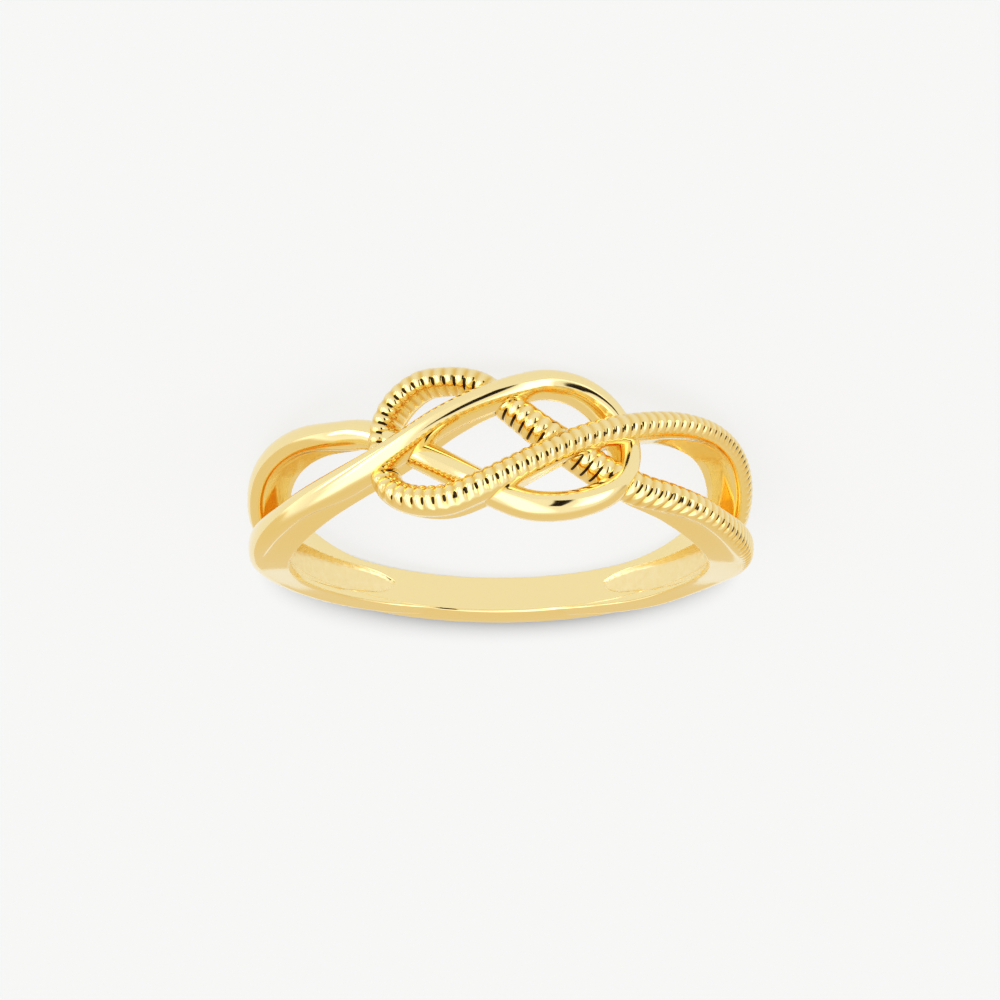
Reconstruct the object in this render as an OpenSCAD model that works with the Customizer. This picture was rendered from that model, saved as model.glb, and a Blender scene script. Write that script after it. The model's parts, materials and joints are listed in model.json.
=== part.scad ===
// Cast ring whose band splits at each shoulder into two strands, one smooth and one ribbed, that
// cross over and under each other in a flat knot. It is drawn with the finger along Z and the
// middle of the knot at +Y, and is then laid on its back.

/* [Band] */
// Inside diameter of the ring, the finger size
finger_d = 17.3; // [15:0.1:20]
// Width of the band at the bottom, along the finger
band_w = 1.54; // [1.2:0.02:2.2]
// Thickness of the band at the bottom
band_t = 1.48; // [1.2:0.02:1.9]
// Rounding of the outer edges of the band
edge_r = 0.18; // [0.08:0.01:0.3]
// Height of a strand's middle above the finger where it leaves the shoulder
shoulder_h = 1.34; // [1.1:0.02:1.6]
// Extra half width of a strand where it merges into the shoulder
shoulder_flare = 0.35; // [0.2:0.01:0.45]

/* [Knot] */
// Half the width of the knot, from its middle to the middle of an outer strand
knot_half_w = 2.6; // [2.3:0.05:3]
// Height of a strand's middle above the finger where it crosses over another
over_h = 1.62; // [1.45:0.02:1.9]
// Height of a strand's middle above the finger where it passes under another
under_h = 0.8; // [0.65:0.01:0.95]

/* [Strands] */
// Radius of the smooth strand's rounded top
smooth_r = 0.46; // [0.38:0.01:0.52]
// Thickness of the wall that carries the smooth strand
smooth_wall_t = 0.72; // [0.5:0.02:0.74]
// Radius of the ribbed strand's rounded top, on the ribs
ribbed_r = 0.48; // [0.4:0.01:0.54]
// Thickness of the wall that carries the ribbed strand
ribbed_wall_t = 0.74; // [0.5:0.02:0.76]
// Length of one rib along the strand
rib_pitch = 0.38; // [0.3:0.01:0.6]
// Depth of the groove between two ribs
rib_depth = 0.08; // [0.03:0.01:0.1]

/* [Recess] */
// Depth of the recess inside each shoulder
recess_depth = 0.42; // [0.15:0.01:0.6]
// Width of the recess inside each shoulder at its widest
recess_w = 1.3; // [0.8:0.05:1.5]

/* [Hidden] */
gold = "goldenrod";
bore_r = finger_d / 2;
band_r = bore_r + band_t;
// What the finger hole is cut short by as cast, and how far each part reaches into it before that
rough_t = 0.12;
band_reach = 0.3;
smooth_reach = 0.4;
ribbed_reach = 0.5;
recess_reach = 0.6;
// Angle from the knot's middle at which the plain band ends inside the shoulder
band_end = 104;
// Distance between the sections of a smooth length of strand
plain_step = 0.66;
bore_fn = 100;
edge_fn = 24;
section_arcs = 7;
recess_steps = 20;
fine_steps = 500;

// A strand's path, one row for each turn in its course. Columns: angle from the knot's middle,
// offset along the finger as a share of knot_half_w, height above the finger as a share of under_h,
// of over_h and of shoulder_h, extra half width as a share of shoulder_flare, and rib depth as a
// share of rib_depth.
smooth_path = [
    // Front shoulder
    [-157,  0.03, 0,    0,    0.60, 0.80, 0], [-148,  0.05, 0,    0,    0.75, 0.95, 0],
    [-136,  0.10, 0,    0,    0.79, 1.00, 0], [-122,  0.18, 0,    0,    0.84, 1.00, 0],
    [-109,  0.28, 0,    0,    0.90, 1.00, 0], [-98,   0.37, 0,    0,    0.95, 0.95, 0],
    [-88,   0.47, 0,    0,    0.97, 0.80, 0], [-78,   0.55, 0,    0,    0.99, 0.50, 0],
    [-68,   0.59, 0,    0,    1.00, 0.22, 0], [-58,   0.58, 0,    0,    1.01, 0,    0],
    // Over the knot to the back of the loop
    [-47,   0.49, 0,    0.85, 0,    0,    0], [-38,   0.40, 0,    0.88, 0,    0,    0],
    [-30,   0.29, 0,    0.94, 0,    0,    0], [-22,   0.11, 0,    1.00, 0,    0,    0],
    [-13,  -0.21, 0,    0.99, 0,    0,    0], [-4.2, -0.51, 0,    0.87, 0,    0,    0],
    [4.9,  -0.81, 0,    0.71, 0,    0,    0], [12,   -0.97, 1.12, 0,    0,    0,    0],
    [19.9, -0.95, 0.98, 0,    0,    0,    0], [26.5, -0.75, 0.93, 0,    0,    0,    0],
    // Round the end of the loop and forward
    [31,   -0.40, 0.98, 0,    0,    0,    0], [32.6,  0.00, 1.12, 0,    0,    0,    0],
    [31,    0.40, 1.25, 0,    0,    0,    0], [26.8,  0.72, 1.31, 0,    0,    0,    0],
    [19.6,  0.95, 1.15, 0,    0,    0,    0], [12,    1.04, 1.09, 0,    0,    0,    0],
    // Back under the knot to the back shoulder
    [4.9,   0.99, 1.04, 0,    0,    0,    0], [-4,    0.73, 1.00, 0,    0,    0,    0],
    [-13.3, 0.40, 1.00, 0,    0,    0,    0], [-23,   0.04, 1.00, 0,    0,    0,    0],
    [-33.6,-0.31, 1.19, 0,    0,    0,    0], [-43,  -0.44, 0,    0,    0.86, 0,    0],
    [-52,  -0.54, 0,    0,    0.90, 0,    0], [-61,  -0.58, 0,    0,    0.93, 0,    0],
    [-71,  -0.58, 0,    0,    0.97, 0,    0], [-80,  -0.50, 0,    0,    1.00, 0.05, 0],
    [-89,  -0.40, 0,    0,    1.00, 0.28, 0], [-98,  -0.30, 0,    0,    0.96, 0.57, 0],
    [-108, -0.19, 0,    0,    0.90, 0.80, 0], [-120, -0.10, 0,    0,    0.82, 0.86, 0],
    [-132, -0.05, 0,    0,    0.74, 0.80, 0], [-142, -0.03, 0,    0,    0.58, 0.70, 0]];
ribbed_path = [
    // Front shoulder
    [157,   0.03, 0,    0,    0.60, 0.80, 0], [148,   0.04, 0,    0,    0.75, 0.95, 0],
    [136,   0.08, 0,    0,    0.79, 1.00, 0], [122,   0.14, 0,    0,    0.84, 1.00, 0],
    [109,   0.24, 0,    0,    0.90, 1.00, 0], [98,    0.35, 0,    0,    0.95, 0.95, 0],
    [88,    0.46, 0,    0,    0.98, 0.80, 0], [78,    0.57, 0,    0,    1.01, 0.50, 0.6],
    [68,    0.64, 0,    0,    1.06, 0.22, 1], [60,    0.67, 0,    0,    1.09, 0,    1],
    [52,    0.64, 0,    0,    1.07, 0,    1], [47.8,  0.60, 0,    0,    1.01, 0,    1],
    // Under the knot to the back of the loop
    [42,    0.55, 0,    0,    0.91, 0,    1], [35.5,  0.45, 1.19, 0,    0,    0,    1],
    [25.6,  0.24, 1.00, 0,    0,    0,    1], [12.2, -0.17, 1.00, 0,    0,    0,    1],
    [6.2,  -0.42, 1.00, 0,    0,    0,    1], [0,    -0.71, 1.00, 0,    0,    0,    1],
    [-4.5, -0.93, 1.00, 0,    0,    0,    1], [-9.3, -1.00, 1.02, 0,    0,    0,    1],
    // Round the end of the loop and forward
    [-14,  -1.02, 1.12, 0,    0,    0,    1], [-18.7,-0.97, 1.25, 0,    0,    0,    1],
    [-23.6,-0.78, 1.31, 0,    0,    0,    1], [-27.2,-0.50, 1.31, 0,    0,    0,    1],
    [-28.6,-0.15, 1.31, 0,    0,    0,    1], [-28.7, 0.19, 1.25, 0,    0,    0,    1],
    [-28.2, 0.53, 1.25, 0,    0,    0,    1], [-25.4, 0.75, 1.31, 0,    0,    0,    1],
    [-20,   0.93, 0,    0.71, 0,    0,    1], [-12.5, 1.01, 0,    0.80, 0,    0,    1],
    // Over the knot to the back shoulder
    [-5.2,  0.88, 0,    0.96, 0,    0,    1], [2.4,   0.63, 0,    1.02, 0,    0,    1],
    [13.4,  0.20, 0,    0.99, 0,    0,    1], [20.3, -0.03, 0,    0.99, 0,    0,    1],
    [27.6, -0.23, 0,    1.01, 0,    0,    1], [35.8, -0.41, 0,    1.04, 0,    0,    1],
    [43,   -0.51, 0,    1.05, 0,    0,    1], [50,   -0.56, 0,    0,    1.27, 0,    1],
    [58,   -0.59, 0,    0,    1.21, 0,    1], [68,   -0.58, 0,    0,    1.10, 0,    1],
    [78,   -0.51, 0,    0,    1.03, 0.08, 1], [88,   -0.40, 0,    0,    1.00, 0.28, 0.8],
    [98,   -0.30, 0,    0,    0.96, 0.57, 0], [108,  -0.19, 0,    0,    0.90, 0.80, 0],
    [120,  -0.10, 0,    0,    0.82, 0.86, 0], [132,  -0.05, 0,    0,    0.74, 0.80, 0],
    [142,  -0.03, 0,    0,    0.58, 0.70, 0]];
// The recess of a shoulder. Columns: angle from the knot's middle, offset of its middle along the
// finger as a share of band_w, width as a share of recess_w, depth as a share of recess_depth.
recess_path = [
    [84, 0.62, 0.60, 1.00], [94, 0.52, 0.92, 1.00], [104, 0.44, 1.00, 0.95], [116, 0.29, 1.00, 0.75],
    [128, 0.18, 0.92, 0.50], [138, 0.08, 0.80, 0.32], [144, 0.05, 0.60, 0.22], [148, 0.03, 0.26, 0.12]];

// Row values part of the way from row b to row c, on a smooth curve that also heeds a and d
function spline(a, b, c, d, t) =
    0.5 * (2 * b + (c - a) * t + (2 * a - 5 * b + 4 * c - d) * t * t + (3 * b - a - 3 * c + d) * t * t * t);
function row_at(rows, s) =
    let(last = len(rows) - 1, i = min(floor(s), last - 1))
    spline(rows[max(i - 1, 0)], rows[i], rows[i + 1], rows[min(i + 2, last)], s - i);
// A path's rows with their lengths in millimetres: angle, offset, height, extra half width, rib depth
function strand_rows(path) = [for (p = path) [
    p[0], p[1] * knot_half_w, p[2] * under_h + p[3] * over_h + p[4] * shoulder_h,
    p[5] * shoulder_flare, p[6] * rib_depth]];
function on_ring(angle, offset, height) =
    [(bore_r + height) * sin(angle), (bore_r + height) * cos(angle), offset];
function middle(row) = on_ring(row[0], row[1], row[2]);
// Pairs of run length and row number all along a path, for finding the row at a given length
function run_table(rows) =
    let(
        s = [for (i = [0 : fine_steps]) i / fine_steps * (len(rows) - 1)],
        p = [for (v = s) middle(row_at(rows, v))])
    [for (i = 0, run = 0; i <= fine_steps; run = run + (i < fine_steps ? norm(p[i + 1] - p[i]) : 0), i = i + 1)
        [run, s[i]]];
// Run lengths of a strand's sections: every half rib where there are ribs, every plain_step
// elsewhere, each with a 1 where it is in a groove
function stations(rows, table) =
    let(
        total = table[fine_steps][0],
        ribbed = [for (t = table) if (row_at(rows, t[1])[4] > 0) t[0]],
        first = len(ribbed) > 0 ? ribbed[0] : total,
        last = len(ribbed) > 0 ? ribbed[len(ribbed) - 1] : total,
        ribs = floor((last - first) / rib_pitch),
        before = max(1, round(first / plain_step)),
        ribs_end = first + ribs * rib_pitch,
        after = max(1, round((total - ribs_end) / plain_step)))
    concat(
        [for (i = [0 : before - 1]) [first * i / before, 0]],
        [for (i = [0 : 2 * ribs]) [first + i * rib_pitch / 2, i % 2]],
        ribs_end >= total ? [] : [for (i = [1 : after]) [ribs_end + (total - ribs_end) * i / after, 0]]);

// Sections of a strand, each a rounded bead on a wall that stands on the finger hole
function strand_rings(path, top_r, wall_t, reach) =
    let(
        rows = strand_rows(path),
        table = run_table(rows),
        marks = stations(rows, table),
        at = [for (mark = marks) row_at(rows, lookup(mark[0], table))],
        mid = [for (row = at) middle(row)],
        last = len(at) - 1)
    [for (i = [0 : last])
        let(
            c = mid[i],
            up = [c.x, c.y, 0] / norm([c.x, c.y]),
            across = cross(up, mid[min(i + 1, last)] - mid[max(i - 1, 0)]),
            side = across / norm(across),
            flare = max(0, at[i][3]),
            r = top_r - marks[i][1] * max(0, at[i][4]),
            neck = asin(min(0.99, wall_t / 2 / r)),
            foot = at[i][2] + reach)
        concat(
            [c + side * (wall_t / 2 + flare) - up * foot],
            [for (k = [0 : section_arcs])
                let(a = neck - 90 + k * (360 - 2 * neck) / section_arcs)
                c + side * (r * cos(a) + sign(cos(a)) * flare) + up * r * sin(a)],
            [c - side * (wall_t / 2 + flare) - up * foot])];
smooth_rings = strand_rings(smooth_path, smooth_r, smooth_wall_t, smooth_reach);
ribbed_rings = strand_rings(ribbed_path, ribbed_r, ribbed_wall_t, ribbed_reach);

// The ring lies on its back, on the two loops of the knot and the back edge of the band's bottom
knot_points = [for (ring = concat(smooth_rings, ribbed_rings), p = ring)
    if (norm([p.x, p.y]) > bore_r) p];
edge_points = [for (a = [90 : 2 : 270]) each [
    on_ring(a, -band_w / 2, band_t - edge_r), on_ring(a, band_w / 2 - edge_r, band_t)]];
all_points = concat(knot_points, edge_points);
function unit(v) = v / norm(v);
// The lowest of some points, where up is the upward direction
function lowest(points, up) =
    let(h = [for (p = points) p * up], least = min(h))
    [for (i = [0 : len(h) - 1]) if (h[i] == least) points[i]][0];
// The upward direction of the floor that the ring comes to rest on
function rest_up(up, tries) =
    tries == 0 ? up :
    let(
        heel = lowest(edge_points, up),
        left = lowest([for (p = knot_points) if (p.y > 0 && p.x < 0) p], up),
        right = lowest([for (p = knot_points) if (p.y > 0 && p.x > 0) p], up))
    rest_up(unit(cross(right - heel, left - heel)), tries - 1);
up_axis = rest_up(unit([0, knot_half_w, 2 * bore_r]), 4);
right_axis = unit([1, 0, 0] - up_axis.x * up_axis);
laid_axes = [right_axis, cross(up_axis, right_axis), up_axis];
laid_points = [for (p = all_points) laid_axes * p];
low = [for (axis = [0 : 2]) min([for (p = laid_points) p[axis]])];
high = [for (axis = [0 : 2]) max([for (p = laid_points) p[axis]])];

// Closed skin over a list of rings of points, all rings of the same length
module skin(rings) {
    m = len(rings[0]);
    n = len(rings);
    polyhedron(
        points = [for (ring = rings) each ring],
        faces = concat(
            [[for (k = [0 : m - 1]) k]],
            [for (i = [0 : n - 2], k = [0 : m - 1])
                let(a = i * m + k, b = i * m + (k + 1) % m)
                each [[a, b + m, b], [a, a + m, b + m]]],
            [[for (k = [m - 1 : -1 : 0]) (n - 1) * m + k]]));
}

// A strand, in two halves that meet at the end of its loop, because the halves cross each other
module strand(rings) {
    half = floor(len(rings) / 2);
    skin([for (i = [0 : half]) rings[i]]);
    skin([for (i = [half : len(rings) - 1]) rings[i]]);
}

// The hollow inside one shoulder, on the side given by turn, 1 or -1
module recess(turn) {
    last = len(recess_path) - 1;
    skin([for (i = [0 : recess_steps])
        let(
            row = row_at(recess_path, i / recess_steps * last),
            half = row[2] * recess_w / 2,
            mid = row[1] * band_w,
            deep = row[3] * recess_depth,
            corner = min(half, deep) / 2)
        [for (p = [[half, -recess_reach], [half, deep - corner], [half - corner, deep],
                   [corner - half, deep], [-half, deep - corner], [-half, -recess_reach]])
            on_ring(-turn * row[0], mid + turn * p.x, p.y)]]);
}

module band() {
    start = bore_r - band_reach;
    rotate([0, 0, 90 + band_end])
    rotate_extrude(angle = 360 - 2 * band_end, $fn = bore_fn)
    translate([start, -band_w / 2])
    union() {
        square([band_r - edge_r - start, band_w]);
        translate([0, edge_r])
            square([band_r - start, band_w - 2 * edge_r]);
        for (y = [edge_r, band_w - edge_r])
            translate([band_r - edge_r - start, y])
            circle(edge_r, $fn = edge_fn);
    }
}

// The band and both strands run into each other as one casting
module casting() {
    difference() {
        union() {
            color(gold) band();
            color(gold) strand(smooth_rings);
            color(gold) strand(ribbed_rings);
        }
        recess(1);
        recess(-1);
        finger_hole(bore_r - rough_t);
    }
}

module finger_hole(r) {
    cylinder(h = 4 * knot_half_w, r = r, center = true, $fn = bore_fn);
}

// The casting is joined first, and the finger hole is then cut through it truly round
module ring() {
    translate([-(low.x + high.x) / 2, -(low.y + high.y) / 2, -low.z])
    multmatrix([for (axis = laid_axes) [axis.x, axis.y, axis.z, 0]])
    difference() {
        resize([0, 0, 0]) casting();
        finger_hole(bore_r);
    }
}

ring();
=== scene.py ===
"""Infinity knot finger ring, one casting in polished yellow gold, lying on its back in a pale studio."""

import json
import logging
from dataclasses import dataclass, field
from enum import Enum

import bpy
import numpy as np
from mathutils import Matrix


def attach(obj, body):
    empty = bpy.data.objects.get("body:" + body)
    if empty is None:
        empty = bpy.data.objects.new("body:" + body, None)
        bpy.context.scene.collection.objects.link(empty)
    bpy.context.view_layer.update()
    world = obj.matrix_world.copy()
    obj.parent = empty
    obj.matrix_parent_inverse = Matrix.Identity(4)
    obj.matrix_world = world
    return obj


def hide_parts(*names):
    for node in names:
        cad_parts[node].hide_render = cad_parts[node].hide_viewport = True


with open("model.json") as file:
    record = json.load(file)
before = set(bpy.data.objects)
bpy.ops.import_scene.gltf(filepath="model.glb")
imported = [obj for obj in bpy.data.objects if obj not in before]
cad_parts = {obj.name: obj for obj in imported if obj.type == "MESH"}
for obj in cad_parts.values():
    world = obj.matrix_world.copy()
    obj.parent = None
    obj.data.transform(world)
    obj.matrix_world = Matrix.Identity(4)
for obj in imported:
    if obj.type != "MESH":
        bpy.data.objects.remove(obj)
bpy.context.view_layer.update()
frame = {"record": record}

MM = 0.001
FLOAT = "FLOAT"
VALUE = "NodeSocketFloat"
VECTOR = "NodeSocketVector"
LIGHT_BOUNCES = 24
WHOLE_CURVE = 3

log = logging.getLogger("infinity_ring")


class Socket(Enum):
    """Names of the inputs of the metal shader that a finish feeds."""

    COLOR = "Base Color"
    ROUGHNESS = "Roughness"
    METALLIC = "Metallic"
    NORMAL = "Normal"


# The ring's own frame and its tables

@dataclass(frozen=True)
class Placement:
    """Where the ring's own frame lies, in millimetres: the finger along Z, the knot's middle at +Y."""

    origin: np.ndarray
    axes: np.ndarray

    @classmethod
    def from_hole(cls, mount: dict) -> "Placement":
        """Find the ring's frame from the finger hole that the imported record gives.

        The hole's axis is the ring's Z. Its X is the level direction closest to the row's own X, and Y
        is square to both.

        Args:
            mount: the record's entry for the finger hole.

        Returns:
            The placement, with the images of X, Y and Z as the rows of axes.
        """
        z_axis = np.array(mount["axis"], float)
        z_axis /= np.linalg.norm(z_axis)
        x_axis = np.array([z_axis[2], 0.0, -z_axis[0]])
        x_axis /= np.linalg.norm(x_axis)
        axes = np.stack([x_axis, np.cross(z_axis, x_axis), z_axis])
        return cls(np.array(mount["pos_m"], float), axes)

    def place(self, points: np.ndarray) -> np.ndarray:
        """Points of the ring's frame, in millimetres, as points of the row's frame in metres."""
        return self.origin + np.asarray(points, float) @ self.axes * MM

    def turn(self, direction: np.ndarray) -> np.ndarray:
        """A direction of the ring's frame as a unit direction of the row's frame."""
        turned = np.asarray(direction, float) @ self.axes
        return turned / np.linalg.norm(turned)


@dataclass(frozen=True)
class Hole:
    """The finger hole, which every part of the ring stands on."""

    radius: float = 8.65

    def point(self, angle: np.ndarray, offset: np.ndarray, height: np.ndarray) -> np.ndarray:
        """Points of the ring's frame: x = (R + height) sin angle, y = (R + height) cos angle, z = offset.

        Args:
            angle: degrees from the knot's middle.
            offset: millimetres along the finger.
            height: millimetres above the hole's wall.

        Returns:
            The points, in millimetres.
        """
        turn, reach = np.radians(angle), self.radius + height
        return np.stack(np.broadcast_arrays(reach * np.sin(turn), reach * np.cos(turn), offset), -1)


def ramp(value: np.ndarray, start: float, stop: float) -> np.ndarray:
    """The share of the way from start to stop that a value has come, held from 0 to 1."""
    return np.clip((value - start) / (stop - start), 0, 1)


def ease(share: np.ndarray) -> np.ndarray:
    """A share that leaves 0 and reaches 1 gently: 3 share^2 - 2 share^3."""
    return share**2 * (3 - 2 * share)


def spline_rows(rows: np.ndarray, place: np.ndarray) -> np.ndarray:
    """Rows part of the way along a table.

    Between rows b and c, with a before and d after, the value at share t is
    (2b + (c - a)t + (2a - 5b + 4c - d)t^2 + (3b - a - 3c + d)t^3) / 2.

    Args:
        rows: the table, one row of values a line.
        place: row numbers, whole or part, at which values are wanted.

    Returns:
        One row of values for each place.
    """
    last = len(rows) - 1
    i = np.clip(np.floor(place).astype(int), 0, last - 1)
    t = (place - i)[:, None]
    a, b, c, d = (rows[np.clip(i + k, 0, last)] for k in (-1, 0, 1, 2))
    bend, twist = 2 * a - 5 * b + 4 * c - d, 3 * b - a - 3 * c + d
    return 0.5 * (2 * b + (c - a) * t + bend * t**2 + twist * t**3)


@dataclass(frozen=True)
class Heights:
    """The lengths in millimetres that the columns of a strand's path are shares of."""

    knot_half_w: float = 2.6
    under: float = 0.8
    over: float = 1.62
    shoulder: float = 1.34
    flare: float = 0.35

    def rows(self, path: tuple, rib_depth: float) -> np.ndarray:
        """A path's rows with their shares turned into millimetres.

        Args:
            path: the table of the strand's path.
            rib_depth: the depth of a full rib.

        Returns:
            Rows of angle, offset, height, extra half width and rib depth.
        """
        angle, offset, under, over, shoulder, extra, rib = np.array(path, float).T
        height = under * self.under + over * self.over + shoulder * self.shoulder
        return np.stack([angle, offset * self.knot_half_w, height, extra * self.flare, rib * rib_depth], -1)


# Columns: angle from the knot's middle, offset along the finger as a share of the knot's half width,
# height above the finger as a share of the under, over and shoulder heights, extra half width as a
# share of the flare, and rib depth as a share of the full one.
SMOOTH_PATH = (
    # Front shoulder
    (-172, 0.032, 0, 0, 0.38, 0.88, 0), (-165, 0.036, 0, 0, 0.50, 0.88, 0),
    (-157, 0.048, 0, 0, 0.62, 0.93, 0), (-148, 0.08, 0, 0, 0.71, 0.99, 0),
    (-136, 0.135, 0, 0, 0.74, 1.00, 0), (-122, 0.21, 0, 0, 0.755, 1.00, 0),
    (-109, 0.31, 0, 0, 0.74, 1.00, 0), (-98, 0.415, 0, 0, 0.775, 0.95, 0),
    (-88, 0.52, 0, 0, 0.855, 0.82, 0), (-78, 0.605, 0, 0, 0.94, 0.54, 0),
    (-68, 0.65, 0, 0, 1.00, 0.26, 0), (-58, 0.63, 0, 0, 1.01, 0.04, 0),
    # Over the knot to the back of the loop
    (-47, 0.53, 0, 0.85, 0, 0, 0), (-38, 0.42, 0, 0.88, 0, -0.05, 0), (-30, 0.29, 0, 0.94, 0, -0.12, 0),
    (-22, 0.08, 0, 1.00, 0, -0.15, 0), (-13, -0.265, 0, 0.99, 0, -0.15, 0),
    (-4.2, -0.56, 0, 0.87, 0, -0.06, 0), (4.9, -0.81, 0, 0.71, 0, 0.04, 0),
    (12, -0.945, 1.12, 0, 0, 0.03, 0), (19.9, -0.91, 0.98, 0, 0, 0.03, 0),
    (26.5, -0.705, 0.93, 0, 0, 0.03, 0),
    # Round the end of the loop and forward
    (31, -0.37, 0.98, 0, 0, 0.02, 0), (32.6, 0.00, 1.12, 0, 0, 0, 0), (31, 0.385, 1.25, 0, 0, 0, 0),
    (26.8, 0.705, 1.31, 0, 0, 0.02, 0), (19.6, 0.93, 1.15, 0, 0, 0.02, 0),
    (12, 1.02, 1.09, 0, 0, 0.02, 0),
    # Back under the knot to the back shoulder
    (4.9, 0.97, 1.04, 0, 0, 0.02, 0), (-4, 0.71, 1.00, 0, 0, 0.14, 0),
    (-13.3, 0.37, 1.00, 0, 0, 0.20, 0), (-23, 0.01, 1.00, 0, 0, 0.18, 0),
    (-33.6, -0.32, 1.19, 0, 0, 0.10, 0), (-43, -0.425, 0, 0, 0.85, 0.04, 0),
    (-52, -0.52, 0, 0, 0.88, 0.08, 0), (-61, -0.56, 0, 0, 0.89, 0.10, 0),
    (-71, -0.55, 0, 0, 0.905, 0.10, 0), (-80, -0.485, 0, 0, 0.935, 0.14, 0),
    (-89, -0.40, 0, 0, 0.975, 0.32, 0), (-98, -0.305, 0, 0, 1.02, 0.57, 0),
    (-108, -0.19, 0, 0, 0.97, 0.78, 0), (-120, -0.11, 0, 0, 0.82, 0.82, 0),
    (-132, -0.05, 0, 0, 0.74, 0.74, 0), (-142, -0.028, 0, 0, 0.64, 0.69, 0),
    (-152, -0.025, 0, 0, 0.52, 0.70, 0), (-162, -0.028, 0, 0, 0.38, 0.71, 0))
RIBBED_PATH = (
    # Front shoulder
    (172, 0.03, 0, 0, 0.38, 0.83, 0), (165, 0.036, 0, 0, 0.50, 0.84, 0),
    (157, 0.05, 0, 0, 0.63, 0.90, 0), (148, 0.078, 0, 0, 0.73, 0.99, 0),
    (136, 0.135, 0, 0, 0.73, 1.00, 0), (122, 0.18, 0, 0, 0.71, 1.00, 0),
    (109, 0.265, 0, 0, 0.77, 1.00, 0), (98, 0.38, 0, 0, 0.89, 0.95, 0.3),
    (88, 0.49, 0, 0, 0.98, 0.80, 0.6), (78, 0.605, 0, 0, 1.02, 0.50, 0.75),
    (68, 0.67, 0, 0, 1.06, 0.22, 0.78), (60, 0.685, 0, 0, 1.09, 0, 0.78),
    (52, 0.645, 0, 0, 1.07, 0, 0.78), (47.8, 0.615, 0, 0, 1.01, 0, 0.78),
    # Under the knot to the back of the loop
    (42, 0.58, 0, 0, 0.91, 0.05, 0.8), (35.5, 0.52, 1.19, 0, 0, 0.12, 0.85),
    (25.6, 0.33, 1.00, 0, 0, 0.18, 0.88), (12.2, -0.125, 1.00, 0, 0, 0.18, 0.88),
    (6.2, -0.39, 1.00, 0, 0, 0.08, 0.9), (0, -0.69, 1.00, 0, 0, 0, 0.95),
    (-4.5, -0.90, 1.00, 0, 0, -0.08, 1), (-9.3, -0.99, 1.02, 0, 0, -0.10, 1),
    # Round the end of the loop and forward
    (-14, -1.00, 1.12, 0, 0, -0.10, 1), (-18.9, -0.96, 1.25, 0, 0, -0.08, 1),
    (-23.9, -0.77, 1.31, 0, 0, -0.08, 1), (-27.5, -0.49, 1.31, 0, 0, -0.14, 1),
    (-29, -0.15, 1.31, 0, 0, -0.18, 0.92), (-28.9, 0.19, 1.25, 0, 0, -0.15, 0.88),
    (-28.1, 0.505, 1.25, 0, 0, -0.07, 0.85), (-25.3, 0.735, 1.31, 0, 0, 0, 0.85),
    (-20, 0.91, 0, 0.71, 0, 0.03, 0.9), (-12.5, 0.975, 0, 0.80, 0, 0.03, 0.95),
    # Over the knot to the back shoulder
    (-5.2, 0.855, 0, 0.96, 0, 0, 1), (2.4, 0.61, 0, 1.02, 0, 0, 1), (13.4, 0.195, 0, 0.99, 0, 0, 0.85),
    (20.3, -0.03, 0, 0.99, 0, 0, 0.8), (27.6, -0.23, 0, 1.01, 0, 0, 0.78),
    (35.8, -0.41, 0, 1.04, 0, -0.05, 0.78), (43, -0.54, 0, 1.05, 0, -0.15, 0.78),
    (50, -0.615, 0, 0, 1.27, -0.22, 0.78), (58, -0.665, 0, 0, 1.21, -0.28, 0.78),
    (68, -0.675, 0, 0, 1.10, -0.32, 0.78), (78, -0.595, 0, 0, 1.03, -0.22, 0.78),
    (88, -0.45, 0, 0, 1.01, 0.10, 0.7), (98, -0.315, 0, 0, 0.99, 0.46, 0.4),
    (108, -0.20, 0, 0, 0.93, 0.74, 0), (120, -0.115, 0, 0, 0.82, 0.79, 0),
    (132, -0.06, 0, 0, 0.74, 0.71, 0), (142, -0.033, 0, 0, 0.64, 0.66, 0),
    (152, -0.03, 0, 0, 0.52, 0.65, 0), (162, -0.03, 0, 0, 0.38, 0.65, 0))

# Columns: angle from the knot's middle, offset of the recess's middle along the finger as a share of
# the band's width, width as a share of its greatest, depth as a share of its greatest.
RECESS_PATH = (
    (84, 0.62, 0.60, 1.00), (94, 0.52, 0.92, 1.00), (104, 0.44, 1.00, 0.95), (116, 0.29, 1.00, 0.75),
    (128, 0.18, 0.92, 0.50), (138, 0.08, 0.80, 0.32), (144, 0.05, 0.60, 0.22), (148, 0.03, 0.26, 0.12))


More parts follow.
